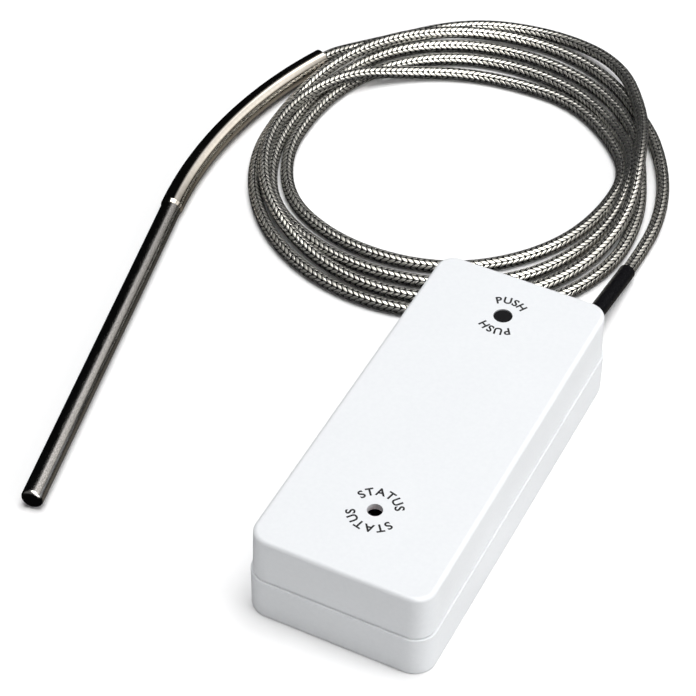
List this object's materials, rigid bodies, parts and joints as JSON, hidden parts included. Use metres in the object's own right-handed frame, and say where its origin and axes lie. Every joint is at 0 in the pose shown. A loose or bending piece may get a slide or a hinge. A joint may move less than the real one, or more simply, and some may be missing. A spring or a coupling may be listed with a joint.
{
  "type": "heat detector",
  "caption": "Heat detector: two-shell wall box with test button and signal light, and a metal probe on a coiled metal-braided cable.",
  "frame": {"origin": "middle of the box's flat back, where it meets the wall", "axes": "+Z out of the wall through the cover, +Y towards the end where the cable leaves, +X to the right seen from the front"},
  "size_m": [0.1446, 0.2489, 0.027],
  "materials": {
    "case_plastic": "fine satin moulding",
    "button_plastic": "fine satin moulding",
    "board_laminate": "lacquered laminate",
    "plated_steel": "zinc plated",
    "black_plastic": "moulded",
    "lamp_resin": "clear tinted resin",
    "tinned_metal": "tinned",
    "terminal_plastic": "moulded",
    "relay_plastic": "moulded",
    "chip_plastic": "moulded",
    "capacitor_can": "drawn can",
    "capacitor_ceramic": "fired",
    "resistor_ceramic": "fired and coated",
    "boot_rubber": "smooth gloss",
    "cable_braid": "woven wire",
    "lead_insulation": "extruded",
    "polished_steel": "polished",
    "satin_steel": "satin drawn",
    "sensor_ceramic": "fired",
    "mineral_powder": "packed powder",
    "potting_resin": "cast",
    "printed_ink": "pad printed"
  },
  "bodies": {
    "housing": {"alarm_relay": "relay_plastic", "base_shell": "case_plastic", "bent_sleeve": "polished_steel", "board_screws": "plated_steel", "cable_boot": "boot_rubber", "cable_coil": "cable_braid", "cable_in_boot": "cable_braid", "cable_in_sleeve": "cable_braid", "cable_lead": "cable_braid", "cable_tail": "cable_braid", "ceramic_capacitors": "capacitor_ceramic", "circuit_board": "board_laminate", "clamp_bar": "black_plastic", "clamp_screws": "plated_steel", "electrolytic_capacitor": "capacitor_can", "element_leads": "lead_insulation", "inner_leads": "lead_insulation", "joint_ring": "polished_steel", "lamp_pins": "tinned_metal", "lamp_spacer": "black_plastic", "line_terminal_block": "terminal_plastic", "line_terminal_screws": "plated_steel", "microcontroller": "chip_plastic", "mineral_fill": "mineral_powder", "polarity_diode": "chip_plastic", "probe_amplifier": "chip_plastic", "probe_terminal_block": "terminal_plastic", "probe_terminal_screws": "plated_steel", "probe_tube": "satin_steel", "resistors": "resistor_ceramic", "sensing_element": "sensor_ceramic", "signal_lamp": "lamp_resin", "sleeve_potting": "potting_resin", "test_switch_body": "black_plastic", "voltage_regulator": "chip_plastic"},
    "cover": {"cover_shell": "case_plastic"},
    "test_button": {"test_button_cap": "button_plastic", "test_switch_plunger": "black_plastic"}
  },
  "joints": [
    {"name": "cover_lift", "type": "slide", "parent": "housing", "child": "cover", "axis": [0, 0, 1], "range_m": [0, 0.03]},
    {"name": "button_press", "type": "slide", "parent": "housing", "child": "test_button", "axis": [0, 0, -1], "range_m": [0, 0.0003], "stiffness_N_per_m": 5000}
  ]
}
